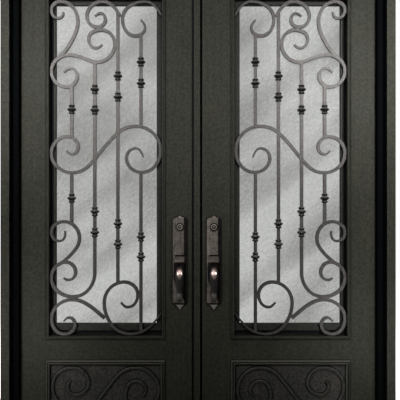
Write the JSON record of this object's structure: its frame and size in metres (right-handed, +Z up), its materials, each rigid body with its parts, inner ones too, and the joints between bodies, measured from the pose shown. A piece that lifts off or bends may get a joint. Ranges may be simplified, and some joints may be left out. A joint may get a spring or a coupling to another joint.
{
  "type": "iron double entry door",
  "caption": "Double entry door in a steel frame: two inward leaves with scrolled iron grilles over textured glass, kick panels and pull handles.",
  "frame": {"origin": "middle of the threshold's underside, half-way through the frame's depth", "axes": "+Z up, -Y towards the street, +X to the right as seen from the street"},
  "size_m": [1.88, 0.21, 2.477],
  "materials": {
    "frame_steel": "satin dark bronze",
    "door_steel": "satin dark bronze",
    "panel_steel": "satin dark bronze, slightly textured",
    "forged_iron": "rubbed warm grey-brown",
    "collar_iron": "near-black",
    "sash_steel": "satin dark bronze",
    "rain_glass": "textured, translucent",
    "bronze": "dark oil-rubbed bronze",
    "seal_rubber": "matt black",
    "sill_bronze": "dark bronze anodised"
  },
  "bodies": {
    "frame": {"jamb_left": "frame_steel", "jamb_right": "frame_steel", "head_jamb": "frame_steel", "threshold": "sill_bronze", "stop_left": "frame_steel", "stop_right": "frame_steel", "stop_head": "frame_steel", "weatherstrip": "seal_rubber", "left_jamb_knuckles": "frame_steel", "right_jamb_knuckles": "frame_steel"},
    "left_leaf": {"left_hinge_stile": "door_steel", "left_lock_stile": "door_steel", "left_rails": "door_steel", "left_kick_panel": "panel_steel", "left_glass_moulding": "door_steel", "left_kick_moulding": "door_steel", "left_kick_scroll": "door_steel", "left_grille": "forged_iron", "left_collars": "collar_iron", "left_sash": "sash_steel", "left_sash_seal": "seal_rubber", "left_edge_seals": "seal_rubber", "left_glass": "rain_glass", "left_leaf_knuckles": "door_steel", "left_handle_plate": "bronze", "left_lock_cylinder": "bronze", "left_pull_grip": "bronze", "left_inside_trim": "bronze", "left_astragal": "door_steel"},
    "left_thumb": {"left_thumb_piece": "bronze"},
    "right_leaf": {"right_hinge_stile": "door_steel", "right_lock_stile": "door_steel", "right_rails": "door_steel", "right_kick_panel": "panel_steel", "right_glass_moulding": "door_steel", "right_kick_moulding": "door_steel", "right_kick_scroll": "door_steel", "right_grille": "forged_iron", "right_collars": "collar_iron", "right_sash": "sash_steel", "right_sash_seal": "seal_rubber", "right_edge_seals": "seal_rubber", "right_glass": "rain_glass", "right_leaf_knuckles": "door_steel", "right_handle_plate": "bronze", "right_lock_cylinder": "bronze", "right_pull_grip": "bronze", "right_inside_trim": "bronze"},
    "right_thumb": {"right_thumb_piece": "bronze"}
  },
  "joints": [
    {"name": "left_leaf_hinge", "type": "hinge", "parent": "frame", "child": "left_leaf", "pos_m": [-0.8955, 0.086, 0], "axis": [0, 0, 1], "range_deg": [0, 100]},
    {"name": "left_thumb_latch", "type": "hinge", "parent": "left_leaf", "child": "left_thumb", "pos_m": [-0.09, 0.0175, 1.006], "axis": [1, 0, 0], "range_deg": [0, 12], "stiffness_Nm_per_rad": 0.6, "springref_deg": -17.19},
    {"name": "right_leaf_hinge", "type": "hinge", "parent": "frame", "child": "right_leaf", "pos_m": [0.8955, 0.086, 0], "axis": [0, 0, -1], "range_deg": [0, 100]},
    {"name": "right_thumb_latch", "type": "hinge", "parent": "right_leaf", "child": "right_thumb", "pos_m": [0.077, 0.0175, 1.006], "axis": [1, 0, 0], "range_deg": [0, 12], "stiffness_Nm_per_rad": 0.6, "springref_deg": -17.19}
  ]
}
